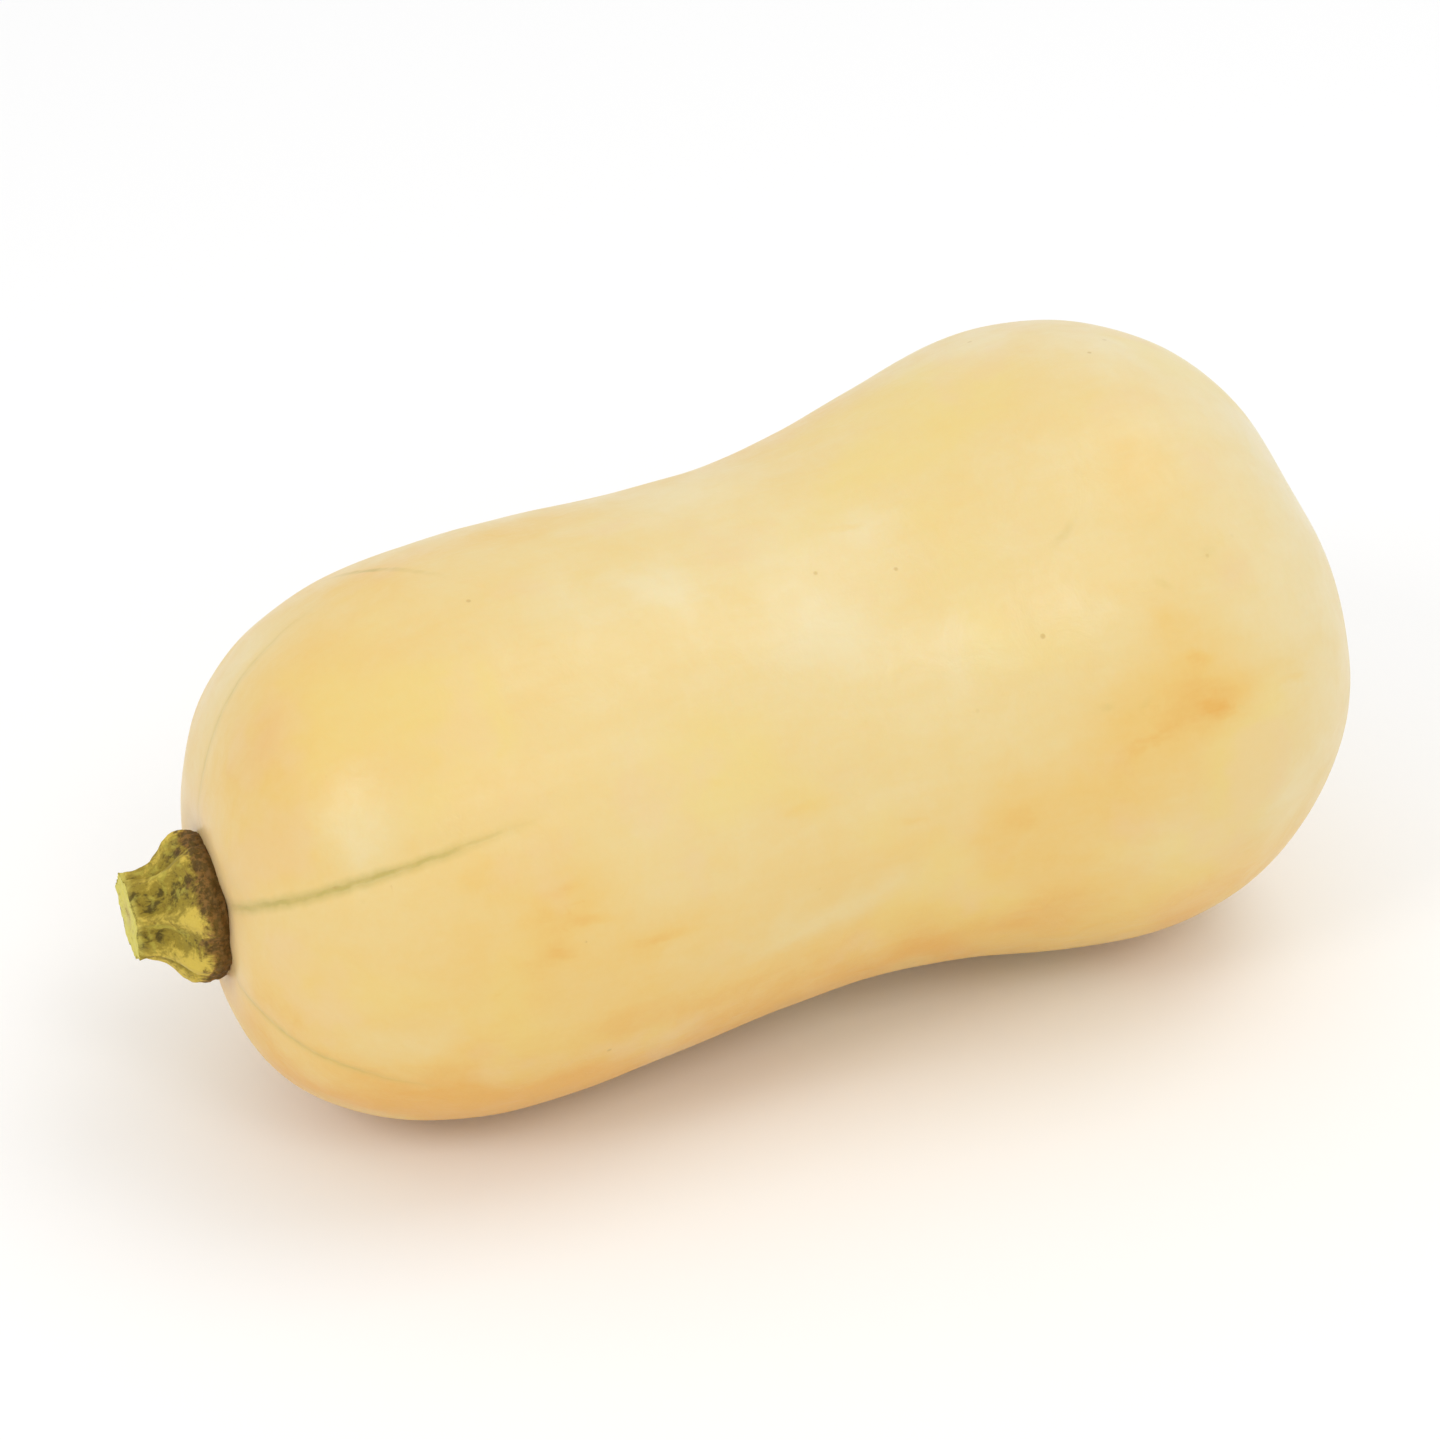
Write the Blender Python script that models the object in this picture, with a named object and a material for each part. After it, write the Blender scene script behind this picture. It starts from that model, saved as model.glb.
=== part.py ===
"""A butternut squash lying on its side: the fruit, grown as one piece, and the cut stub of its stem.

The fruit is turned from one profile about the X axis, stem end towards -X, and leans until its neck
and its bulb both touch the ground at Z = 0, where each is pressed flat by its own weight. The stem
is a stack of five-ridged outlines that flares over the top of the neck and bends as it leaves it.
The origin is under the middle of the squash, on the ground.
"""

import math

import bmesh
import bpy
from mathutils import Matrix, Vector

# The fruit. PROFILE draws its outline: each pair is a share of the length from the stem end and a
# radius, and the outline is the clamped cubic spline that these points pull towards themselves.
FRUIT_LENGTH = 0.220
PROFILE = (
    (0.00, 0.0000),
    (0.00, 0.0300),
    (0.10, 0.0499),
    (0.25, 0.0522),
    (0.40, 0.0504),
    (0.55, 0.0481),
    (0.70, 0.0569),
    (0.86, 0.0635),
    (1.00, 0.0400),
    (1.00, 0.0000),
)
SEAT_DEPTH = 0.0017  # how much of the round neck end is flat under the stem
RINGS = 44
SIDES = 56

# How it grew and lies: the last of the neck bends aside, the blossom end is a little skewed, and
# the neck, which is thinner, is the lower end. Each bend or skew is the slope it ends with.
NECK_BEND = Vector((0.0, 0.11, 0.066))
NECK_BEND_REACH = 0.038
BULB_SKEW = Vector((0.0, -0.026, -0.014))
BULB_SKEW_REACH = 0.088
LEAN = math.radians(3.65)
PRESSED_FLAT = 0.0012

# The stem stub. Each row of STEM_RINGS is a height above the skin, the radius over the ridges and
# the share of that radius which the valleys between the ridges lose.
STEM_RINGS = (
    (0.0000, 0.0127, 0.04),
    (0.0015, 0.0130, 0.06),
    (0.0033, 0.0129, 0.11),
    (0.0050, 0.0124, 0.18),
    (0.0063, 0.0114, 0.24),
    (0.0075, 0.0101, 0.28),
    (0.0092, 0.0088, 0.28),
    (0.0115, 0.0081, 0.24),
    (0.0139, 0.0079, 0.18),
)
RIDGE_ANGLES = (22, 100, 160, 214, 288)  # degrees round the stem, from +Y towards +Z
STEM_SIDES = 50
STEM_BEND = Vector((0.0, 0.0026, -0.0009))  # how far the cut end stands off the fruit's axis
CUT_SLOPE = Vector((0.0, -0.01, -0.03))  # how far the cut leans, along X for each metre across
GAP = 0.0003

SKIN_COLOUR = (0.85, 0.66, 0.30, 1.0)
STEM_COLOUR = (0.42, 0.33, 0.09, 1.0)


def clear_scene():
    """Take every object out of the scene, so that the squash is built from nothing."""
    for thing in list(bpy.data.objects):
        bpy.data.objects.remove(thing, do_unlink=True)


def plain_material(name, colour, roughness):
    """A Principled material of one colour."""
    material = bpy.data.materials.new(name)
    material.use_nodes = True
    shader = material.node_tree.nodes["Principled BSDF"]
    shader.inputs["Base Color"].default_value = colour
    shader.inputs["Roughness"].default_value = roughness
    shader.inputs["Metallic"].default_value = 0.0
    return material


def add_node(name, bm, material):
    """Make an object of a finished bmesh and shade it smooth."""
    bmesh.ops.recalc_face_normals(bm, faces=bm.faces)
    mesh = bpy.data.meshes.new(name)
    bm.to_mesh(mesh)
    bm.free()
    mesh.materials.append(material)
    mesh.shade_smooth()
    node = bpy.data.objects.new(name, mesh)
    bpy.context.collection.objects.link(node)
    return node


def spline_points(controls, steps):
    """Points on the clamped cubic spline of the controls, closer together towards its two ends."""
    degree = 3
    spans = len(controls) - degree
    knots = [0] * degree + list(range(spans + 1)) + [spans] * degree
    points = []
    for step in range(steps + 1):
        at = spans * (1 - math.cos(math.pi * step / steps)) / 2
        span = min(int(at), spans - 1) + degree
        near = [Vector(controls[span - degree + j]) for j in range(degree + 1)]
        for level in range(1, degree + 1):
            for j in range(degree, level - 1, -1):
                low = knots[span - degree + j]
                high = knots[span + 1 + j - level]
                near[j] = near[j - 1].lerp(near[j], (at - low) / (high - low))
        points.append(near[degree])
    return points


def ease(share):
    """A smooth step from 0 to 1."""
    share = min(max(share, 0.0), 1.0)
    return share * share * (3 - 2 * share)


def lay_down(bm):
    """Bend the neck, skew the blossom end and lean the whole shape, the stem end lower."""
    for vert in bm.verts:
        along = vert.co.x
        neck = min(max(1 - along / NECK_BEND_REACH, 0.0), 1.0)
        bulb = ease((along - FRUIT_LENGTH + BULB_SKEW_REACH) / BULB_SKEW_REACH)
        slope = NECK_BEND * neck**2 + BULB_SKEW * bulb
        aside = NECK_BEND_REACH / 3 * neck**3 - min(along, 0.0)
        vert.co.x += slope.dot(vert.co)
        vert.co += NECK_BEND * aside
    bm.transform(Matrix.Rotation(-LEAN, 4, "Y"))


def fruit_shape():
    """The turned body of the fruit about the X axis, its stem end at X = 0."""
    controls = [(share * FRUIT_LENGTH, 0.0, radius) for share, radius in PROFILE]
    outline = spline_points(controls, RINGS)
    bm = bmesh.new()
    verts = [bm.verts.new((max(p.x, SEAT_DEPTH), 0.0, p.z)) for p in outline]
    edges = [bm.edges.new(pair) for pair in zip(verts, verts[1:])]
    bmesh.ops.spin(
        bm,
        geom=verts + edges,
        cent=(0.0, 0.0, 0.0),
        axis=(1.0, 0.0, 0.0),
        angle=2 * math.pi,
        steps=SIDES,
        use_merge=True,
    )
    bmesh.ops.remove_doubles(bm, verts=bm.verts, dist=1e-6)
    lay_down(bm)
    return bm


def press_flat(bm):
    """Cut a thin slice off the underside of the bulb and of the neck, and close both cuts flat."""
    ground = min(vert.co.z for vert in bm.verts) + PRESSED_FLAT
    cut = bmesh.ops.bisect_plane(
        bm,
        geom=bm.verts[:] + bm.edges[:] + bm.faces[:],
        plane_co=(0.0, 0.0, ground),
        plane_no=(0.0, 0.0, 1.0),
        clear_inner=True,
    )
    rim = [item for item in cut["geom_cut"] if isinstance(item, bmesh.types.BMEdge)]
    bmesh.ops.holes_fill(bm, edges=rim)


def valley_share(angle):
    """0 on a ridge of the stem and 1 in the middle of the valley between two ridges."""
    ridges = [math.radians(ridge) for ridge in RIDGE_ANGLES]
    ridges.append(ridges[0] + 2 * math.pi)
    if angle < ridges[0]:
        angle += 2 * math.pi
    for low, high in zip(ridges, ridges[1:]):
        if low <= angle <= high:
            return math.sin(math.pi * (angle - low) / (high - low)) ** 1.5
    return 0.0


def stem_shape():
    """The stem stub, standing on the flat seat at the neck's end and reaching towards -X."""
    height = STEM_RINGS[-1][0]
    bm = bmesh.new()
    bmesh.ops.create_cone(
        bm,
        cap_ends=True,
        segments=STEM_SIDES,
        radius1=1.0,
        radius2=1.0,
        depth=height,
        matrix=Matrix.Translation((-height / 2, 0.0, 0.0)) @ Matrix.Rotation(math.pi / 2, 4, "Y"),
    )
    for rise, _, _ in STEM_RINGS[1:-1]:
        everything = bm.verts[:] + bm.edges[:] + bm.faces[:]
        bmesh.ops.bisect_plane(
            bm, geom=everything, plane_co=(-rise, 0.0, 0.0), plane_no=(1.0, 0.0, 0.0)
        )
    for vert in bm.verts:
        rise, radius, valley = min(STEM_RINGS, key=lambda ring: abs(ring[0] + vert.co.x))
        along = rise / height
        angle = math.atan2(vert.co.z, vert.co.y)
        reach = radius * (1 - valley * valley_share(angle))
        across = Vector((0.0, math.cos(angle), math.sin(angle))) * reach
        slope = CUT_SLOPE * ease(2 * along - 1)
        vert.co = STEM_BEND * along**1.5 + across
        vert.co.x = SEAT_DEPTH - GAP - rise + slope.dot(across)
    lay_down(bm)
    return bm


def move_to_origin(shapes):
    """Put the middle of the shapes' footprint, at the height of the ground, on the origin."""
    places = [vert.co for bm in shapes for vert in bm.verts]
    middle = Vector(
        (
            (min(p.x for p in places) + max(p.x for p in places)) / 2,
            (min(p.y for p in places) + max(p.y for p in places)) / 2,
            min(p.z for p in places),
        )
    )
    for bm in shapes:
        bmesh.ops.translate(bm, verts=bm.verts, vec=-middle)


clear_scene()
fruit = fruit_shape()
stem = stem_shape()
press_flat(fruit)
move_to_origin([fruit, stem])
add_node("fruit", fruit, plain_material("squash_skin", SKIN_COLOUR, 0.45))
add_node("stem", stem, plain_material("dry_stem", STEM_COLOUR, 0.75))
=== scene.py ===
"""A butternut squash lying on its side: the fruit, and the stub of its cut stem."""

import math

import bmesh
import bpy
from mathutils import Matrix, Vector, noise


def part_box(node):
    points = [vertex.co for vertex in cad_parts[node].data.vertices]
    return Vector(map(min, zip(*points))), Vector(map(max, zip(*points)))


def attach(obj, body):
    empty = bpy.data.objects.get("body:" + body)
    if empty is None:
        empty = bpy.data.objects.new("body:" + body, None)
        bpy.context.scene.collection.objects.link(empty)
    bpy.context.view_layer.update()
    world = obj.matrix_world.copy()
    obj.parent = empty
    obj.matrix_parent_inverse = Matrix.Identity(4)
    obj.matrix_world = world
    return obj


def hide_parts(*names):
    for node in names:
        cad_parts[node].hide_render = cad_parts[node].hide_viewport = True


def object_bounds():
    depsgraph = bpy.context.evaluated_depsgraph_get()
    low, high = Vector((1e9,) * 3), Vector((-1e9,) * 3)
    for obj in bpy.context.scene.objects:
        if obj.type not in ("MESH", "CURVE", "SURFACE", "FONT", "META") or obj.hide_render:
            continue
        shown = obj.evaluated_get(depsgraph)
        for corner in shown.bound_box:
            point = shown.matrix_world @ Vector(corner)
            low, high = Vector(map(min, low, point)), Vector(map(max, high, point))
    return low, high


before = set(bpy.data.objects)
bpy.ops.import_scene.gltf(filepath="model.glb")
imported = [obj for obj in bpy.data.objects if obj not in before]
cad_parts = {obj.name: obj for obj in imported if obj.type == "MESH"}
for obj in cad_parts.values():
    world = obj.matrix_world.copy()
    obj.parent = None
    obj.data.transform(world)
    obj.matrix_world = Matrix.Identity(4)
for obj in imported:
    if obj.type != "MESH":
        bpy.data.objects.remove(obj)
cad_low, cad_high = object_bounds()

# ---------------------------------------------------------------------------------------------
# The fruit: neck, waist and bulb grown as one piece, a thin waxy rind over firm flesh. It swelled
# from the flower's base, so its outline is a turned one that grew a little unevenly, and it lies
# on the underside of its bulb and neck, pressed flat there by its own weight.
FRUIT_LENGTH = 0.220
FRUIT_OUTLINE = (
    (0.00, 0.0000),
    (0.00, 0.0300),
    (0.10, 0.0499),
    (0.25, 0.0522),
    (0.40, 0.0504),
    (0.55, 0.0481),
    (0.70, 0.0569),
    (0.86, 0.0635),
    (1.00, 0.0400),
    (1.00, 0.0000),
)
FRUIT_RINGS = 210
FRUIT_SIDES = 280
# the last of the neck bends aside and the blossom end is a little skewed, each ending with a slope
NECK_BEND = Vector((0.0, 0.11, 0.066))
NECK_BEND_REACH = 0.038
BULB_SKEW = Vector((0.0, -0.026, -0.014))
BULB_SKEW_REACH = 0.088
LEAN = math.radians(3.65)
PRESSED_FLAT = 0.0012


def ease(share):
    """A smooth step from 0 to 1."""
    share = min(max(share, 0.0), 1.0)
    return share * share * (3 - 2 * share)


def bell(distance, width):
    """1 at no distance, and falling away smoothly over about the width."""
    return math.exp(-((distance / width) ** 2))


def turn_between(angle, other):
    """How many degrees angle is past other, from -180 to 180."""
    return (angle - other + 180) % 360 - 180


def spline_points(controls, steps):
    """Points on the clamped cubic spline of the controls, closer together towards its two ends."""
    degree = 3
    spans = len(controls) - degree
    knots = [0] * degree + list(range(spans + 1)) + [spans] * degree
    points = []
    for step in range(steps + 1):
        at = spans * (1 - math.cos(math.pi * step / steps)) / 2
        span = min(int(at), spans - 1) + degree
        near = [Vector(controls[span - degree + j]) for j in range(degree + 1)]
        for level in range(1, degree + 1):
            for j in range(degree, level - 1, -1):
                low = knots[span - degree + j]
                high = knots[span + 1 + j - level]
                near[j] = near[j - 1].lerp(near[j], (at - low) / (high - low))
        points.append(near[degree])
    return points


def turned(outline, sides):
    """A closed body turned about the X axis from an outline whose two ends are on the axis."""
    bm = bmesh.new()
    verts = [bm.verts.new((p.x, 0.0, p.z)) for p in outline]
    edges = [bm.edges.new(pair) for pair in zip(verts, verts[1:])]
    bmesh.ops.spin(
        bm,
        geom=verts + edges,
        cent=(0.0, 0.0, 0.0),
        axis=(1.0, 0.0, 0.0),
        angle=2 * math.pi,
        steps=sides,
        use_merge=True,
    )
    bmesh.ops.remove_doubles(bm, verts=bm.verts, dist=1e-6)
    bmesh.ops.recalc_face_normals(bm, faces=bm.faces)
    return bm


def laid_down(point):
    """Where a point of the straight, level shape goes once the squash has bent and lies down."""
    neck = min(max(1 - point.x / NECK_BEND_REACH, 0.0), 1.0)
    bulb = ease((point.x - FRUIT_LENGTH + BULB_SKEW_REACH) / BULB_SKEW_REACH)
    slope = NECK_BEND * neck**2 + BULB_SKEW * bulb
    aside = NECK_BEND_REACH / 3 * neck**3 - min(point.x, 0.0)
    bent = point + NECK_BEND * aside
    bent.x += slope.dot(point)
    return Matrix.Rotation(-LEAN, 3, "Y") @ bent


def measures(bm, names):
    """Empty numbers for each point of a shape, kept under these names for its material to read."""
    return {name: bm.verts.layers.float.new(name) for name in names}


def finished_piece(name, bm, material):
    """A smooth-shaded object of a finished shape, at the origin."""
    mesh = bpy.data.meshes.new(name)
    bm.to_mesh(mesh)
    bm.free()
    mesh.materials.append(material)
    mesh.shade_smooth()
    piece = bpy.data.objects.new(name, mesh)
    bpy.context.scene.collection.objects.link(piece)
    return piece


# Five veins start under the stem's foot: the angle round the fruit at which each one starts, how
# many degrees it turns in a metre, how far it runs and how strongly it shows.
VEINS = (
    (79.0, -110, 0.036, 0.28),
    (149.6, -78, 0.052, 1.00),
    (198.5, 270, 0.028, 0.45),
    (281.0, 60, 0.045, 0.60),
    (352.0, -90, 0.050, 0.50),
)
VEIN_GROUND = 0.0070  # a vein's stain has faded out this far to its side
VEIN_GROOVE = (0.00040, 0.0030)  # how deep, and how wide, the groove along a vein is
VEIN_VALLEY = (0.00050, 0.011)  # the same for the shallow valley that the groove lies in
# Where the rind grew deeper orange, or stayed pale, and two painted highlights: the distance along
# the fruit, the angle round it, how far the patch reaches along and round in metres, and how strong it
# is.
PATCHES = (
    (0.020, 191, 0.011, 0.007, -0.90),
    (0.008, 212, 0.007, 0.007, -0.80),
    (0.102, 188, 0.025, 0.005, -0.90),
    (0.163, 192, 0.010, 0.010, -0.90),
    (0.187, 190, 0.012, 0.010, -0.90),
    (0.046, 190, 0.007, 0.009, -0.40),
    (0.131, 197, 0.008, 0.006, -0.40),
    (0.075, 105, 0.018, 0.007, -0.50),
    (0.086, 109, 0.006, 0.004, -0.60),
    (0.111, 128, 0.010, 0.008, -0.75),
    (0.124, 110, 0.006, 0.006, -0.60),
    (0.110, 105, 0.010, 0.010, -0.45),
    # painted highlight: paler rind where a lamp's reflection falls on the neck
    (0.020, 138, 0.006, 0.007, -0.90),
    # painted highlight: paler rind where a lamp's reflection falls on the bulb
    (0.132, 143, 0.010, 0.008, -0.35),
    (0.104, 80, 0.014, 0.009, -0.65),
    (0.112, 165, 0.010, 0.004, -0.35),
    (0.190, 90, 0.012, 0.009, -0.60),
    (0.212, 105, 0.014, 0.020, -0.65),
    (0.165, 74, 0.012, 0.008, -0.70),
    (0.015, 70, 0.010, 0.005, -0.80),
    (0.135, 180, 0.009, 0.011, 0.70),
    (0.154, 172, 0.010, 0.008, 0.65),
    (0.156, 160, 0.008, 0.006, 0.65),
    (0.172, 161, 0.010, 0.009, 1.25),
    (0.168, 148, 0.005, 0.005, 0.60),
    (0.190, 162, 0.012, 0.003, 0.40),
    (0.133, 212, 0.014, 0.006, 0.50),
    (0.118, 200, 0.008, 0.005, 0.30),
    (0.064, 176, 0.009, 0.003, 0.55),
    (0.050, 163, 0.009, 0.007, 0.55),
    (0.046, 172, 0.006, 0.005, 0.40),
    (0.036, 155, 0.005, 0.004, 0.45),
    (0.095, 160, 0.005, 0.0025, 0.40),
    (0.015, 115, 0.014, 0.014, 0.55),
    (0.010, 135, 0.006, 0.006, 0.40),
    (0.025, 92, 0.009, 0.007, 0.45),
    (0.012, 103, 0.006, 0.006, 0.50),
    (0.042, 76, 0.007, 0.006, 0.90),
    (0.068, 76, 0.016, 0.005, 0.70),
    (0.174, 120, 0.007, 0.010, 0.50),
    (0.145, 135, 0.008, 0.006, 0.25),
    (0.158, 95, 0.010, 0.006, 0.20),
    (0.060, 20, 0.025, 0.020, 0.60),
    (0.160, 330, 0.022, 0.022, 0.70),
    (0.120, 25, 0.030, 0.020, 0.50),
    (0.180, 40, 0.020, 0.020, -0.60),
    (0.030, 10, 0.020, 0.014, -0.55),
    (0.092, 350, 0.024, 0.012, -0.60),
    (0.070, 48, 0.020, 0.010, -0.50),
    (0.125, 62, 0.024, 0.012, 0.40),
)
# Short rubbed marks: the distance along, the angle round, the length, half the width, how many
# degrees the mark turns from the fruit's own line, and how orange, or below 0 how green, it is.
MARKS = (
    (0.053, 168, 0.0090, 0.0013, 14, 0.40),
    (0.048, 161, 0.0070, 0.0015, -8, 0.35),
    (0.046, 173, 0.0050, 0.0011, 24, 0.35),
    (0.066, 177, 0.0130, 0.0012, 9, 0.35),
    (0.0445, 74, 0.0180, 0.0009, 56, -0.90),
    (0.1556, 127, 0.0050, 0.0010, -30, -0.30),
    (0.1791, 138, 0.0022, 0.0011, 0, -0.30),
    (0.1686, 141, 0.0026, 0.0009, 50, -0.25),
    (0.1532, 159, 0.0022, 0.0009, 0, -0.30),
    (0.1601, 160, 0.0024, 0.0008, -20, -0.30),
    (0.1761, 165, 0.0040, 0.0009, -25, -0.30),
    (0.095, 161, 0.0070, 0.0011, 6, 0.55),
    (0.173, 165, 0.0090, 0.0019, 28, 0.60),
    (0.160, 167, 0.0080, 0.0015, -12, 0.50),
    (0.171, 155, 0.0060, 0.0020, 40, 0.50),
    (0.190, 165, 0.0060, 0.0010, 12, 0.40),
    (0.123, 108, 0.0070, 0.0010, 20, 0.45),
    (0.036, 178, 0.0040, 0.0008, -30, 0.40),
    (0.116, 172, 0.0050, 0.0009, 15, 0.35),
    (0.080, 150, 0.0040, 0.0008, 30, 0.35),
    (0.140, 60, 0.0090, 0.0013, 12, 0.45),
    (0.170, 20, 0.0080, 0.0014, -25, 0.50),
    (0.060, 40, 0.0070, 0.0011, 15, 0.40),
    (0.110, 5, 0.0090, 0.0012, -10, 0.40),
    (0.190, 300, 0.0080, 0.0017, 30, 0.45),
)
MARK_GROUND = 0.0060  # a mark has faded out this far to its side
# Dark pinpricks: the distance along the fruit and the angle round it.
PINPRICKS = (
    (0.0147, 148),
    (0.0220, 151),
    (0.0510, 172),
    (0.0880, 121),
    (0.1290, 100),
    (0.1480, 30),
    (0.0700, 350),
)
PRICK_GROUND = 0.0050  # how far round a pinprick its measure reaches
UNDERSIDE = 250  # the angle of the middle of the side that grew ripest, darkened there partly with painted shade
# Where it grew fuller than a turned shape, or less full: the distance along, the angle round, how
# far the swelling reaches in metres, and how high it is.
SWELLINGS = (
    (0.211, 122, 0.015, -0.0013),
    (0.209, 178, 0.016, 0.0009),
    (0.204, 211, 0.012, -0.0006),
    (0.152, 234, 0.016, 0.0006),
    (0.168, 20, 0.030, 0.0009),
    (0.060, 345, 0.030, -0.0008),
)
# The hollow that the stem stands in, and at the other end the hollow round the blossom's raised scar.
CROWN_HOLLOW = 0.0010
BLOSSOM_HOLLOW = 0.0016
SCAR_HEIGHT = 0.0013


def growth_of(point):
    """How far a growing point stands out from the turned shape, in metres."""
    angle = math.degrees(math.atan2(point.z, point.y)) % 360
    radius = math.hypot(point.y, point.z)
    lumps = 0.00075 * noise.noise(point * 22 + Vector((3, 1, 4)))
    lumps += 0.00022 * noise.noise(point * 75 + Vector((7, 2, 0)))
    for place, direction, reach, height in SWELLINGS:
        aside = math.radians(turn_between(angle, direction)) * radius
        lumps += height * bell(math.hypot(point.x - place, aside), reach)
    furrows = 0.0
    for vein, turning, reach, strength in VEINS:
        fade = 1 - ease(point.x / (1.5 * reach))
        across = math.radians(turn_between(angle, vein + turning * point.x)) * radius
        for depth, width in (VEIN_GROOVE, VEIN_VALLEY):
            furrows += strength * fade * depth * bell(across, width)
    return lumps - furrows * ease(radius / 0.012)


def nearest_vein(along, angle, radius):
    """How far to the side of the nearest vein a point is, in metres, and how much the vein shows."""
    sides = [turn_between(angle, vein + turning * along) for vein, turning, _, _ in VEINS]
    near = min(range(len(VEINS)), key=lambda k: abs(sides[k]))
    reach, strength = VEINS[near][2:]
    across = math.radians(sides[near]) * radius
    strength *= (1 - ease((along / reach - 0.35) / 0.65)) * (1 - ease(abs(across) / VEIN_GROUND))
    return across, strength * ease(0.25 + along / 0.002)


def nearest_mark(along, angle, radius):
    """How many of its half widths a point is from the nearest mark's line, and how much it shows."""
    best = (9.0, 0.0)
    for place, direction, length, width, turned_by, strength in MARKS:
        turn = math.radians(turned_by)
        ahead = along - place
        aside = math.radians(turn_between(angle, direction)) * radius
        lengthwise = ahead * math.cos(turn) + aside * math.sin(turn)
        across = aside * math.cos(turn) - ahead * math.sin(turn)
        shows = strength * bell(lengthwise / length, 0.5) * (1 - ease(abs(across) / MARK_GROUND))
        if abs(shows) > abs(best[1]):
            best = (across / width, shows)
    return best


def prick_at(along, angle, radius):
    """How near a point is to one of a few dark pinpricks: 1 in the middle of one, and 0 away."""
    near = 0.0
    for place, direction in PINPRICKS:
        aside = math.radians(turn_between(angle, direction)) * radius
        near = max(near, 1 - math.hypot(along - place, aside) / PRICK_GROUND)
    return near


noise.seed_set(7)  # noise_vector follows this seed, so the patches' edges are the same each time


def ripeness_and_painted_light_of(point, angle, radius):
    """How much deeper, above 0, or paler, below 0, than the rest the rind is at a point, with painted
    highlights and painted shade.
    """
    # deepest along the underside, partly painted shade there, but even all round the blossom end, and
    # paler towards that end
    ripe_and_painted_light = 1.7 * (1 - ease((abs(turn_between(angle, UNDERSIDE)) - 20) / 80))
    ripe_and_painted_light *= 1 - ease((point.x - 0.196) / 0.022) * (1 - ease(radius / 0.050))
    ripe_and_painted_light += 0.40 * (1 - ease((point.x - 0.035) / 0.035))
    ripe_and_painted_light -= 0.80 * ease((point.x - 0.165) / 0.045)
    # the edges of the patches wander by a few millimetres
    astray = noise.noise_vector(point * 120) * 0.0030 + noise.noise_vector(point * 330) * 0.0012
    for place, direction, reach_along, reach_round, strength in PATCHES:
        ahead = (point.x + astray.x - place) / reach_along
        if abs(ahead) < 2.5:
            aside = math.radians(turn_between(angle, direction)) * radius + astray.y
            ripe_and_painted_light += strength * bell(math.hypot(ahead, aside / reach_round), 1.0)
    return ripe_and_painted_light


# the fruit goes where its blossom end meets its solid's end and its underside is pressed flat
outline = spline_points([(s * FRUIT_LENGTH, 0.0, r) for s, r in FRUIT_OUTLINE], FRUIT_RINGS)
turns = [math.radians(degrees) for degrees in range(0, 360, 3)]
ends = [laid_down(Vector((p.x, p.z * math.cos(t), p.z * math.sin(t)))) for p in outline for t in turns]
far_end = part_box("fruit")[1].x
fruit_place = Vector((far_end - max(e.x for e in ends), 0.0, -PRESSED_FLAT - min(e.z for e in ends)))


def fruit_shape():
    """The fruit's mesh, in the place that its solid has, with what its rind's material reads."""
    bm = turned(outline, FRUIT_SIDES)
    names = ("vein_side", "vein_strength", "mark_side", "mark_strength", "ripeness_and_painted_light", "prick")
    names += ("blossom", "crown")
    layers = measures(bm, names)
    grown = {vert: vert.co.copy() for vert in bm.verts}
    for vert, point in grown.items():
        vert.co = laid_down(point)
    bm.normal_update()
    for vert, point in grown.items():
        angle = math.degrees(math.atan2(point.z, point.y)) % 360
        radius = math.hypot(point.y, point.z)
        side, strength = nearest_vein(point.x, angle, radius)
        vert[layers["vein_side"]] = side
        vert[layers["vein_strength"]] = strength
        side, strength = nearest_mark(point.x, angle, radius)
        vert[layers["mark_side"]] = side
        vert[layers["mark_strength"]] = strength
        vert[layers["ripeness_and_painted_light"]] = ripeness_and_painted_light_of(point, angle, radius)
        vert[layers["prick"]] = prick_at(point.x, angle, radius)
        blossom = radius if point.x > FRUIT_LENGTH / 2 else 1.0
        vert[layers["blossom"]] = blossom
        vert[layers["crown"]] = radius if point.x < FRUIT_LENGTH / 4 else 1.0
        out = growth_of(point)
        out -= CROWN_HOLLOW * (1 - ease((vert[layers["crown"]] - 0.012) / 0.007))
        out -= BLOSSOM_HOLLOW * bell(blossom, 0.013)
        out += SCAR_HEIGHT * (1 - ease((blossom - 0.0030) / 0.0022))
        vert.co += vert.normal * out + fruit_place
        vert.co.z = max(vert.co.z, 0.0)
    return bm


def add(tree, kind, inputs, **settings):
    """A node of a material. Each input is a plain value or the output of another node."""
    node = tree.nodes.new("ShaderNode" + kind)
    for name, value in settings.items():
        setattr(node, name, value)
    for name, value in inputs.items():
        if isinstance(value, bpy.types.NodeSocket):
            tree.links.new(value, node.inputs[name])
        else:
            node.inputs[name].default_value = value
    return node


def calc(tree, operation, *values):
    """The result of a sum on one, two or three values."""
    return add(tree, "Math", dict(enumerate(values)), operation=operation).outputs[0]


def rise(tree, value, start, end, low=0.0, high=1.0):
    """A value eased from low, at start, to high, at end."""
    sides = {"Value": value, "From Min": start, "From Max": end, "To Min": low, "To Max": high}
    return add(tree, "MapRange", sides, interpolation_type="SMOOTHSTEP").outputs[0]


def tint(tree, share, below, above):
    """The colour between two others that a share from 0 to 1 gives."""
    node = add(tree, "Mix", {0: share, 6: below, 7: above}, data_type="RGBA")
    return node.outputs[2]


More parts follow.
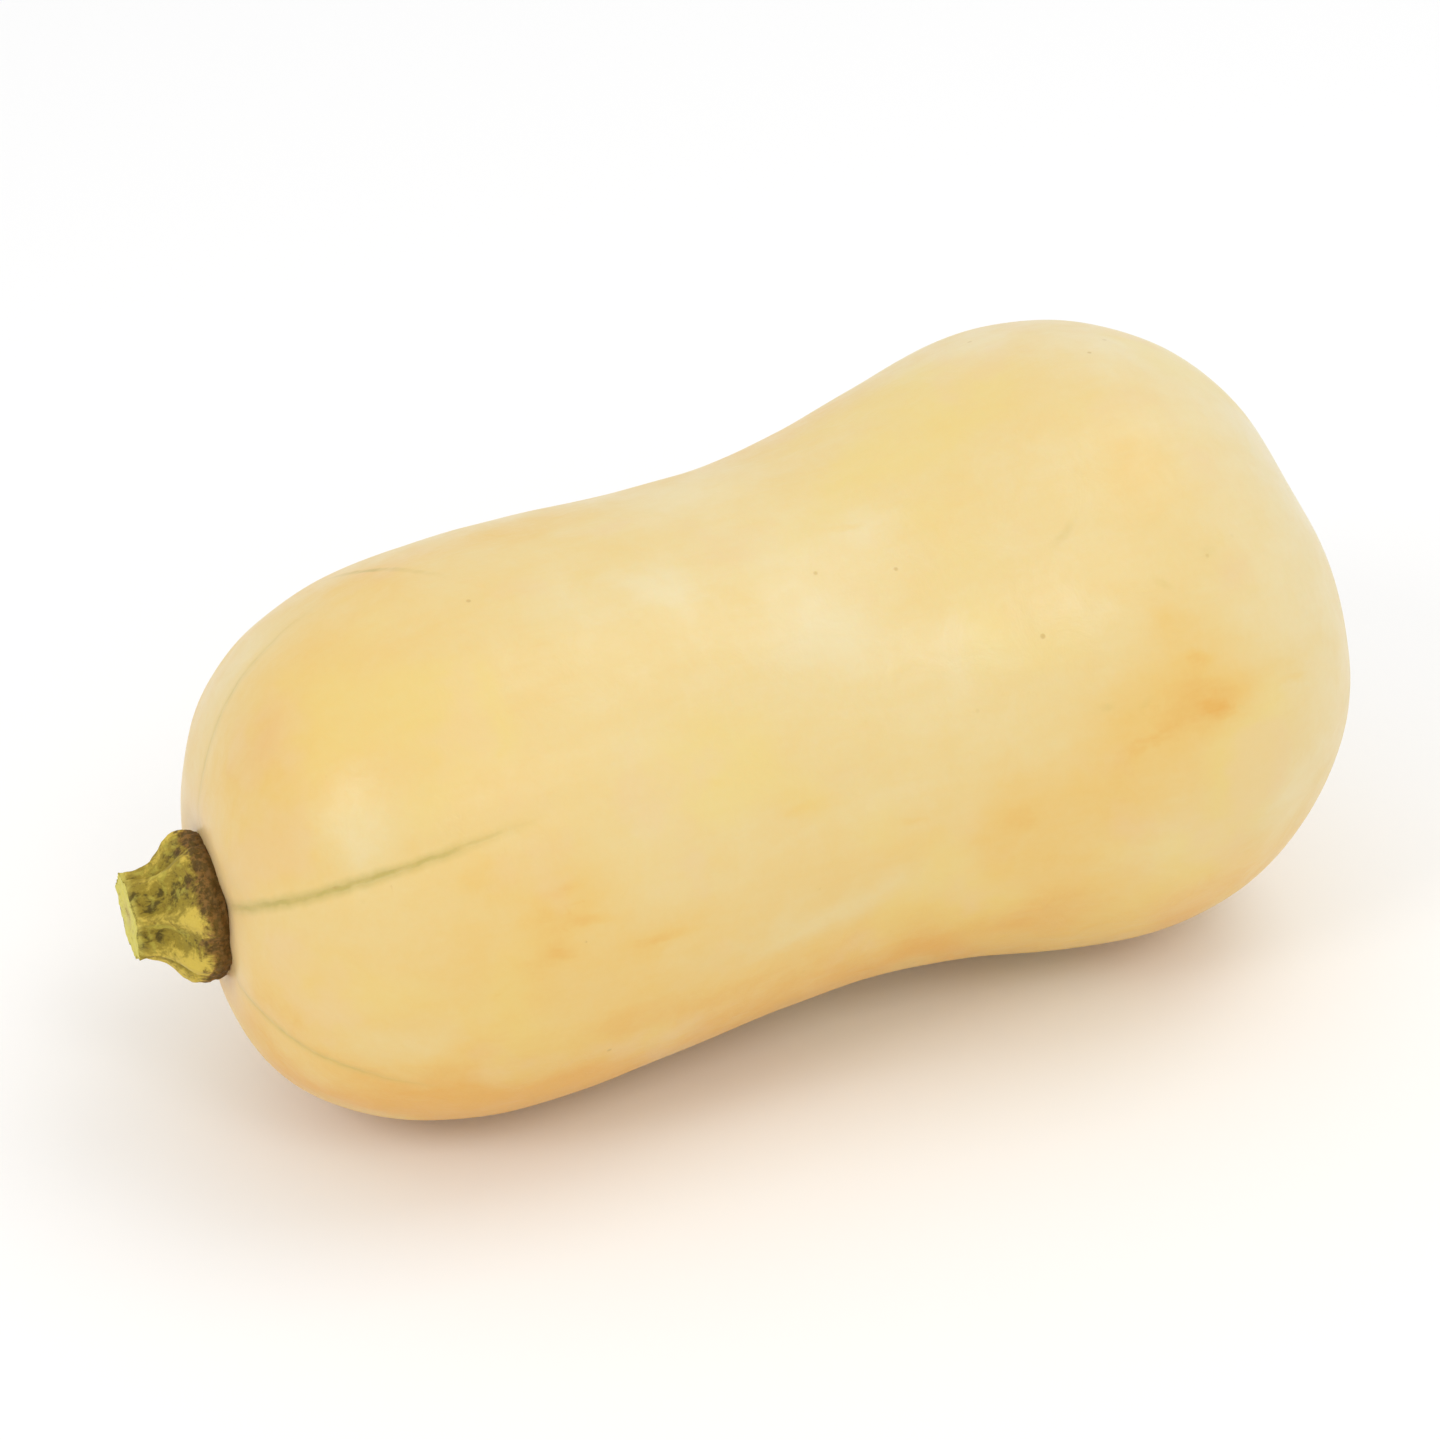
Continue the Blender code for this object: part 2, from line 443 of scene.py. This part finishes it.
def cloud(tree, place, scale, detail=2.0, rough=0.5, warp=0.0):
    """A cloudy pattern, around 0.5, with this many clouds in a metre."""
    sides = {"Vector": place, "Scale": scale, "Detail": detail, "Roughness": rough}
    sides["Distortion"] = warp
    return add(tree, "TexNoise", sides).outputs[0]


def measure(tree, name):
    """A number that the mesh carries for each of its points."""
    return add(tree, "Attribute", {}, attribute_name=name).outputs["Fac"]


PALEST, DEEPEST = -1.1, 1.8  # the ripeness of the palest rind and of the deepest
CREAM = (0.800, 0.685, 0.405, 1.0)
BUFF = (0.785, 0.600, 0.257, 1.0)
APRICOT = (0.790, 0.532, 0.160, 1.0)
# tan for the underside, darkened partly with painted shade
TAN_AND_UNDERSIDE_SHADE = (0.765, 0.425, 0.085, 1.0)
BUTTER = (0.800, 0.625, 0.190, 1.0)
PINK = (0.790, 0.555, 0.290, 1.0)
VEIN_GREEN = (0.500, 0.390, 0.090, 1.0)
SPECK = (0.520, 0.330, 0.090, 1.0)
SCAR = (0.560, 0.340, 0.130, 1.0)
CORK = (0.190, 0.105, 0.040, 1.0)
BRAN = (0.430, 0.290, 0.130, 1.0)


def rind_colour_at(tree, ripe_and_painted_light):
    """The rind's colour: cream at the palest, also for painted highlights, buff at 0, apricot at 1,
    and tan at the deepest, darkened partly as painted shade.
    """
    ends = {"Value": ripe_and_painted_light, "From Min": PALEST, "From Max": DEEPEST}
    share = add(tree, "MapRange", ends).outputs[0]
    node = add(tree, "ValToRGB", {"Fac": share})
    row = node.color_ramp.elements
    row[0].color = CREAM
    row[1].color = TAN_AND_UNDERSIDE_SHADE
    row.new((0 - PALEST) / (DEEPEST - PALEST)).color = BUFF
    row.new((1 - PALEST) / (DEEPEST - PALEST)).color = APRICOT
    return node.outputs["Color"]


def rind():
    """The waxy rind: mottled buff and yellow, orange where it grew ripest, darkened there with painted
    shade, green veins and painted highlights.
    """
    material = bpy.data.materials.new("squash_rind")
    material.use_nodes = True
    tree = material.node_tree
    shader = tree.nodes["Principled BSDF"]
    here = add(tree, "TexCoord", {}).outputs["Object"]
    # the fruit points along X, so its streaks are a pattern drawn out that way
    long = add(tree, "Mapping", {"Vector": here, "Scale": (0.22, 1.0, 1.0)}).outputs[0]
    broad = cloud(tree, here, 30, 3, 0.55, 0.3)
    mottle = cloud(tree, here, 120, 4, 0.6, 0.5)
    streak = cloud(tree, long, 330, 3, 0.6)
    grain = cloud(tree, here, 700, 3, 0.6)
    wander = calc(tree, "MULTIPLY_ADD", cloud(tree, here, 400, 2), 1.6, -0.8)
    # each layer of mottle moves the ripeness up or down a little
    # this measure also carries the painted highlights and the underside's painted shade
    ripe_and_painted_light = measure(tree, "ripeness_and_painted_light")
    for layer, amount in ((broad, 0.75), (mottle, 0.70), (streak, 0.45), (grain, 0.30)):
        ripe_and_painted_light = calc(tree, "MULTIPLY_ADD", calc(tree, "SUBTRACT", layer, 0.5), amount, ripe_and_painted_light)
    off_line = calc(tree, "ABSOLUTE", calc(tree, "ADD", measure(tree, "mark_side"), wander))
    mark = calc(tree, "MULTIPLY", rise(tree, off_line, 1.3, 0.2), measure(tree, "mark_strength"))
    mark = calc(tree, "MULTIPLY", mark, rise(tree, streak, 0.35, 0.60, 0.4, 1.0))
    colour = rind_colour_at(tree, calc(tree, "ADD", ripe_and_painted_light, calc(tree, "MAXIMUM", mark, 0.0)))
    colour = tint(tree, rise(tree, cloud(tree, here, 24, 2), 0.54, 0.66, 0.0, 0.40), colour, BUTTER)
    colour = tint(tree, rise(tree, cloud(tree, here, 46, 3), 0.56, 0.70, 0.0, 0.35), colour, PINK)
    # the veins: a thin broken line down the middle of each furrow, in a wider green stain
    side = calc(tree, "MULTIPLY_ADD", wander, 0.0006, measure(tree, "vein_side"))
    waver = calc(tree, "MULTIPLY_ADD", cloud(tree, here, 110, 2), 0.0016, -0.0008)
    side = calc(tree, "ABSOLUTE", calc(tree, "ADD", side, waver))
    strength = measure(tree, "vein_strength")
    stain = calc(tree, "MULTIPLY", rise(tree, side, 0.0019, 0.0001, 0.0, 0.60), strength)
    line = calc(tree, "MULTIPLY", rise(tree, side, 0.0006, 0.0001, 0.0, 0.70), strength)
    broken = rise(tree, cloud(tree, here, 230, 3), 0.36, 0.58, 0.15, 1.0)
    colour = tint(tree, stain, colour, VEIN_GREEN)
    colour = tint(tree, calc(tree, "MULTIPLY", line, broken), colour, VEIN_GREEN)
    green = calc(tree, "MULTIPLY", calc(tree, "MAXIMUM", calc(tree, "MULTIPLY", mark, -1.0), 0.0), 0.7)
    colour = tint(tree, green, colour, VEIN_GREEN)
    # small corky specks, in some of the cells of a scattered pattern
    cells = add(tree, "TexVoronoi", {"Vector": here, "Scale": 150.0, "Randomness": 1.0})
    chosen = add(tree, "SeparateColor", {0: cells.outputs["Color"]}).outputs[0]
    dot = rise(tree, cells.outputs["Distance"], 0.090, 0.040)
    dot = calc(tree, "MULTIPLY", dot, rise(tree, chosen, 0.82, 0.97, 0.0, 0.50))
    dot = calc(tree, "MAXIMUM", dot, rise(tree, measure(tree, "prick"), 0.86, 0.96, 0.0, 0.7))
    colour = tint(tree, dot, colour, SPECK)
    # the ring of pinker rind round the stem, and the corky scar where the flower was
    crown = measure(tree, "crown")
    colour = tint(tree, rise(tree, crown, 0.026, 0.014, 0.0, 0.60), colour, PINK)
    crumb = cloud(tree, here, 1100, 4, 0.65)
    blossom = calc(tree, "MULTIPLY_ADD", mottle, 0.0036, measure(tree, "blossom"))
    blossom = calc(tree, "MULTIPLY_ADD", crumb, 0.0020, blossom)
    colour = tint(tree, rise(tree, blossom, 0.0135, 0.0072, 0.0, 0.55), colour, SCAR)
    cork = tint(tree, rise(tree, crumb, 0.38, 0.60), CORK, BRAN)
    cork = tint(tree, rise(tree, measure(tree, "blossom"), 0.0020, 0.0008, 0.0, 0.7), cork, CORK)
    colour = tint(tree, rise(tree, blossom, 0.0075, 0.0062), colour, cork)
    tree.links.new(colour, shader.inputs["Base Color"])
    rough = rise(tree, mottle, 0.3, 0.7, 0.32, 0.42)
    rough = add(tree, "Mix", {0: rise(tree, blossom, 0.0080, 0.0062), 2: rough, 3: 0.85}).outputs[0]
    tree.links.new(rough, shader.inputs["Roughness"])
    shader.inputs["Subsurface Weight"].default_value = 0.12
    shader.inputs["Subsurface Radius"].default_value = (1.0, 0.55, 0.20)
    shader.inputs["Subsurface Scale"].default_value = 0.004
    shader.inputs["Specular IOR Level"].default_value = 0.5
    shader.inputs["Sheen Weight"].default_value = 0.06
    shader.inputs["Sheen Roughness"].default_value = 0.35
    relief = calc(tree, "MULTIPLY", mottle, 0.00022)
    relief = calc(tree, "MULTIPLY_ADD", cloud(tree, here, 62, 3, 0.6), 0.00028, relief)
    relief = calc(tree, "MULTIPLY_ADD", streak, 0.00006, relief)
    relief = calc(tree, "MULTIPLY_ADD", grain, 0.000025, relief)
    relief = calc(tree, "MULTIPLY_ADD", dot, -0.00012, relief)
    relief = calc(tree, "MULTIPLY_ADD", line, -0.00015, relief)
    corky = calc(tree, "MULTIPLY", rise(tree, blossom, 0.0078, 0.0062), crumb)
    relief = calc(tree, "MULTIPLY_ADD", corky, 0.00050, relief)
    bump = add(tree, "Bump", {"Height": relief, "Distance": 1.0, "Strength": 0.8})
    tree.links.new(bump.outputs[0], shader.inputs["Normal"])
    return material


fruit = finished_piece("squash_fruit", fruit_shape(), rind())
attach(fruit, "root")
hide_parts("fruit")

# ---------------------------------------------------------------------------------------------
# The stem: the dry, woody stub left when the fruit was cut from its vine. Strong and weak fibrous
# ridges run down it and flare into knobbly lobes over the top of the neck, and a dark corky rim
# joins them to the rind.
# Each row is a height above the rind, the radius over the ridges there, and the share of it that
# the valleys between the ridges lose.
STEM_RINGS = (
    (-0.0014, 0.0124, 0.03),
    (0.0000, 0.0129, 0.04),
    (0.0015, 0.0130, 0.07),
    (0.0030, 0.0128, 0.12),
    (0.0043, 0.0125, 0.19),
    (0.0056, 0.0116, 0.26),
    (0.0068, 0.0103, 0.30),
    (0.0080, 0.0092, 0.32),
    (0.0095, 0.0084, 0.30),
    (0.0112, 0.0080, 0.26),
    (0.0134, 0.0079, 0.19),
)
STEM_HEIGHT = STEM_RINGS[-1][0]
STEM_SIDES = 300
STEM_STEPS = 110  # rings up the outside
CUT_STEPS = 24  # rings across the cut
SEAT = 0.0009  # where on the fruit's axis the stem's height is 0
STEM_BEND = Vector((0.0, 0.0026, -0.0009))  # how far the cut end stands off the fruit's axis
CUT_SLOPE = Vector((0.0, -0.01, -0.03))  # how far the cut leans, along X for each metre across
CORK_TOP = 0.0018  # the crumbly cork at the foot starts to thin out at this height
# The ridges round the stem: the angle at the foot and at the cut, how far each one stands out, how
# wide it is in degrees, how far the lobe at its foot swells and reaches, and how pale it has dried.
RIDGES = (
    (60, 58, 1.00, 15, 0.0006, 0.0050, 0.2),
    (108, 98, 0.85, 13, 0.0003, 0.0050, 0.1),
    (135, 130, 0.12, 8, 0.0005, 0.0035, 0.5),
    (162, 157, 1.00, 14, 0.0006, 0.0050, 1.0),
    (204, 214, 0.95, 15, 0.0007, 0.0058, 1.1),
    (243, 250, 0.95, 14, 0.0009, 0.0090, 0.8),
    (296, 296, 1.00, 15, 0.0007, 0.0050, 0.8),
    (338, 335, 0.60, 10, 0.0004, 0.0050, 0.4),
    (14, 14, 0.90, 14, 0.0006, 0.0050, 0.6),
)


def stem_row(height):
    """The radius over the ridges and the valleys' share at a height, eased between the rows."""
    for low, high in zip(STEM_RINGS, STEM_RINGS[1:]):
        if height <= high[0]:
            share = (height - low[0]) / (high[0] - low[0])
            return [a + (b - a) * share for a, b in zip(low[1:], high[1:])]
    return STEM_RINGS[-1][1:]


def ridges_at(angle, height):
    """How near a crest a point is, from 0 to 1, and its lobe's swelling and paleness there."""
    crest, swelling, pale = 0.0, 0.0, 0.0
    for foot, top, stands, wide, swells, reach, dried in RIDGES:
        middle = foot + (top - foot) * height / STEM_HEIGHT
        near = bell(turn_between(angle, middle), wide)
        lobe = bell(height - 0.6 * reach, 0.7 * reach)
        crest += near * stands
        swelling += near * lobe * swells
        pale += near * lobe * dried
    return min(crest, 1.0), swelling, pale


def stem_outline():
    """The outline that the stem is turned from: its foot, its outside and its cut, foot first."""
    foot = STEM_RINGS[0][0]
    heights = [foot + (STEM_HEIGHT - foot) * k / STEM_STEPS for k in range(STEM_STEPS + 1)]
    outside = [Vector((-height, 0.0, stem_row(height)[0])) for height in heights]
    across = [1 - k / CUT_STEPS for k in range(1, CUT_STEPS + 1)]
    cut = [Vector((-STEM_HEIGHT, 0.0, outside[-1].z * share)) for share in across]
    under = [Vector((-foot, 0.0, outside[0].z * share)) for share in (0.0, 0.5)]
    return under + outside + cut


def stem_shape():
    """The stem's mesh, standing on the neck's end, with what its material reads."""
    bm = turned(stem_outline(), STEM_SIDES)
    layers = measures(bm, ("height", "crest", "pale", "cut", "across"))
    for vert in bm.verts:
        height = -vert.co.x
        turn = math.atan2(vert.co.z, vert.co.y)
        radius = math.hypot(vert.co.y, vert.co.z)
        widest, valley = stem_row(height)
        share = radius / widest
        on_cut = height > STEM_HEIGHT - 1e-6
        around = Vector((math.cos(turn), math.sin(turn), 0.0))
        spot = around * 0.0105 + Vector((0.0, 0.0, height))
        # the ridges waver as they run up the stem
        twist = 9 * noise.noise(spot * 130 + Vector((1, 6, 0)))
        crest, swelling, pale = ridges_at(math.degrees(turn) + twist, height)
        along = max(height, 0.0) / STEM_HEIGHT
        fibre = around * 9 + Vector((0.0, 0.0, height * 110))
        cork = 1 - ease((height - CORK_TOP) / 0.0022)
        rough = 0.00028 * noise.noise(fibre) * (0.4 + ease(along * 2))
        rough += 0.00013 * noise.noise(fibre * 2.7)
        rough += 0.00055 * noise.noise(spot * 260 + Vector((5, 0, 2)))
        rough += 0.00028 * noise.noise(spot * 620 + Vector((0, 3, 1)))
        rough += 0.00026 * noise.noise(spot * 900) * cork
        reach = radius * (1 - valley * (1 - crest)) + (swelling + rough) * share * ease(share * 3)
        side = Vector((0.0, math.cos(turn), math.sin(turn))) * reach
        slope = CUT_SLOPE * ease(2 * along - 1)
        point = STEM_BEND * along**1.5 + side
        point.x = SEAT - height + slope.dot(side)
        if on_cut:
            point.x += 0.0004 * bell(share, 0.42) + 0.00025 * noise.noise(spot * 480)
            point.x += 0.0004 * ease((share - 0.88) / 0.12) ** 2
        vert[layers["height"]] = height
        vert[layers["crest"]] = crest
        vert[layers["pale"]] = pale
        vert[layers["cut"]] = float(on_cut and share < 0.99)
        vert[layers["across"]] = share
        vert.co = point
    for vert in bm.verts:
        vert.co = laid_down(vert.co) + fruit_place
    return bm


STRAW = (0.640, 0.475, 0.078, 1.0)
LEMON = (0.530, 0.455, 0.072, 1.0)
OLIVE = (0.320, 0.235, 0.028, 1.0)
UMBER = (0.200, 0.130, 0.018, 1.0)
# the valleys' colour, dark partly from the stem's own colour and partly as painted shade
SHADED_FURROW = (0.105, 0.074, 0.009, 1.0)
BARK = (0.090, 0.046, 0.008, 1.0)
RUST = (0.250, 0.125, 0.028, 1.0)
FRESH_CUT = (0.700, 0.620, 0.140, 1.0)
PITH = (0.620, 0.520, 0.190, 1.0)


def dry_stem():
    """Dry stem: straw-coloured lobes, olive ridges, valleys darkened partly with painted shade, a dark
    corky rim and a paler fresh cut.
    """
    material = bpy.data.materials.new("dry_stem")
    material.use_nodes = True
    tree = material.node_tree
    shader = tree.nodes["Principled BSDF"]
    here = add(tree, "TexCoord", {}).outputs["Object"]
    height, crest, pale = measure(tree, "height"), measure(tree, "crest"), measure(tree, "pale")
    cut, across = measure(tree, "cut"), measure(tree, "across")
    # fibres run along the stem, which points along X, so their pattern is drawn out that way
    long = add(tree, "Mapping", {"Vector": here, "Scale": (0.25, 1.0, 1.0)}).outputs[0]
    fibre = cloud(tree, long, 900, 4, 0.65, 0.4)
    patch = cloud(tree, here, 300, 4, 0.65, 0.8)
    crumb = cloud(tree, here, 1000, 3, 0.6)
    # paler on the crests and darker in the valleys: partly the stem's own colour, partly painted shade
    # in the furrows
    tone_and_furrow_shade = calc(tree, "MULTIPLY_ADD", crest, 0.50, 0.12)
    tone_and_furrow_shade = calc(tree, "MULTIPLY_ADD", pale, 0.50, tone_and_furrow_shade)
    for layer, amount in ((patch, 1.30), (fibre, 1.00), (crumb, 0.50)):
        tone_and_furrow_shade = calc(tree, "MULTIPLY_ADD", calc(tree, "SUBTRACT", layer, 0.5), amount, tone_and_furrow_shade)
    colour = tint(tree, rise(tree, tone_and_furrow_shade, 0.02, 0.34), SHADED_FURROW, OLIVE)
    colour = tint(tree, rise(tree, tone_and_furrow_shade, 0.40, 0.86), colour, STRAW)
    leafy = rise(tree, cloud(tree, here, 420, 3), 0.52, 0.66)
    leafy = calc(tree, "MULTIPLY", leafy, rise(tree, pale, 0.5, 0.1))
    colour = tint(tree, calc(tree, "MULTIPLY", leafy, 0.55), colour, LEMON)
    scab = rise(tree, cloud(tree, here, 560, 4, 0.65), 0.56, 0.68, 0.0, 0.7)
    colour = tint(tree, scab, colour, UMBER)
    # the rim is ragged: cork and bark reach up into the valleys in crumbs
    ragged = calc(tree, "MULTIPLY_ADD", calc(tree, "SUBTRACT", patch, 0.5), 0.0060, height)
    ragged = calc(tree, "MULTIPLY_ADD", calc(tree, "SUBTRACT", crumb, 0.5), 0.0050, ragged)
    ragged = calc(tree, "MULTIPLY_ADD", crest, 0.0007, ragged)
    colour = tint(tree, rise(tree, ragged, 0.0041, 0.0020, 0.0, 0.9), colour, BARK)
    rusty = calc(tree, "MULTIPLY", rise(tree, ragged, 0.0046, 0.0028), rise(tree, crumb, 0.45, 0.60))
    colour = tint(tree, calc(tree, "MULTIPLY", rusty, 0.85), colour, RUST)
    colour = tint(tree, rise(tree, height, 0.0012, 0.0002, 0.0, 0.4), colour, BARK)
    face = tint(tree, rise(tree, across, 0.05, 0.55), PITH, FRESH_CUT)
    face = tint(tree, rise(tree, crumb, 0.46, 0.28, 0.0, 0.45), face, OLIVE)
    lip = rise(tree, height, STEM_HEIGHT - 0.0016, STEM_HEIGHT - 0.0002, 0.0, 0.65)
    colour = tint(tree, calc(tree, "MULTIPLY", lip, rise(tree, patch, 0.35, 0.6)), colour, FRESH_CUT)
    colour = tint(tree, cut, colour, face)
    tree.links.new(colour, shader.inputs["Base Color"])
    tree.links.new(rise(tree, patch, 0.3, 0.7, 0.60, 0.85), shader.inputs["Roughness"])
    shader.inputs["Specular IOR Level"].default_value = 0.25
    relief = calc(tree, "MULTIPLY", fibre, 0.00022)
    relief = calc(tree, "MULTIPLY_ADD", crumb, 0.00020, relief)
    relief = calc(tree, "MULTIPLY_ADD", patch, 0.00045, relief)
    relief = calc(tree, "MULTIPLY_ADD", scab, -0.00012, relief)
    bump = add(tree, "Bump", {"Height": relief, "Distance": 1.0, "Strength": 1.0})
    tree.links.new(bump.outputs[0], shader.inputs["Normal"])
    return material


stem = finished_piece("squash_stem", stem_shape(), dry_stem())
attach(stem, "root")
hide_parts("stem")

# ---------------------------------------------------------------------------------------------
# The studio: a plain white floor under soft white light from all round, with three soft boxes, and
# a long lens that looks down on the squash from its front, a little round towards its stem.
FLOOR_RADIUS = 6.0
WHITE = (0.96, 0.96, 0.96, 1.0)

bm = bmesh.new()
bmesh.ops.create_circle(bm, cap_ends=True, segments=96, radius=FLOOR_RADIUS)
floor_white = bpy.data.materials.new("white_floor")
floor_white.use_nodes = True
floor_shader = floor_white.node_tree.nodes["Principled BSDF"]
floor_shader.inputs["Base Color"].default_value = WHITE
floor_shader.inputs["Roughness"].default_value = 0.9
floor_shader.inputs["Specular IOR Level"].default_value = 0.1
floor = finished_piece("floor", bm, floor_white)

world = bpy.data.worlds.new("white_room")
world.use_nodes = True
world.node_tree.nodes["Background"].inputs["Color"].default_value = (1.0, 1.0, 1.0, 1.0)
world.node_tree.nodes["Background"].inputs["Strength"].default_value = 0.85
bpy.context.scene.world = world


def towards(azimuth, elevation):
    """The direction that a camera or light stands in, with azimuth 0 in front, at -Y."""
    turn, tilt = math.radians(azimuth), math.radians(elevation)
    flat = math.cos(tilt)
    return Vector((math.sin(turn) * flat, -math.cos(turn) * flat, math.sin(tilt)))


def soft_box(name, azimuth, elevation, distance, size, brightness):
    """A square soft light that faces the squash. A larger one of a brightness takes more power."""
    lamp = bpy.data.lights.new(name, "AREA")
    lamp.shape = "SQUARE"
    lamp.size = size
    lamp.energy = math.pi * size**2 * brightness
    box = bpy.data.objects.new(name, lamp)
    direction = towards(azimuth, elevation)
    box.location = direction * distance
    box.rotation_mode = "QUATERNION"
    box.rotation_quaternion = direction.to_track_quat("Z", "Y")
    bpy.context.scene.collection.objects.link(box)


soft_box("key_light", -68, 42, 1.6, 0.42, 5.3)
soft_box("front_light", 0, 48, 1.8, 0.42, 4.3)
soft_box("top_light", 80, 68, 1.8, 0.90, 1.6)

VIEW_AZIMUTH = -26.5
VIEW_ELEVATION = 32.25
VIEW_DISTANCE = 0.774
LENS = 105.3
AIM_BACK = 0.0018  # how far the camera aims to the stem's side of the box's middle

camera = bpy.data.objects.new("camera", bpy.data.cameras.new("camera"))
camera.data.sensor_width = 36
camera.data.lens = LENS
aim = (cad_low + cad_high) / 2 - Vector((AIM_BACK, 0.0, 0.0))
camera.location = aim + towards(VIEW_AZIMUTH, VIEW_ELEVATION) * VIEW_DISTANCE
camera.rotation_mode = "QUATERNION"
camera.rotation_quaternion = towards(VIEW_AZIMUTH, VIEW_ELEVATION).to_track_quat("Z", "Y")
bpy.context.scene.collection.objects.link(camera)
bpy.context.scene.camera = camera
bpy.context.scene.view_settings.view_transform = "Standard"
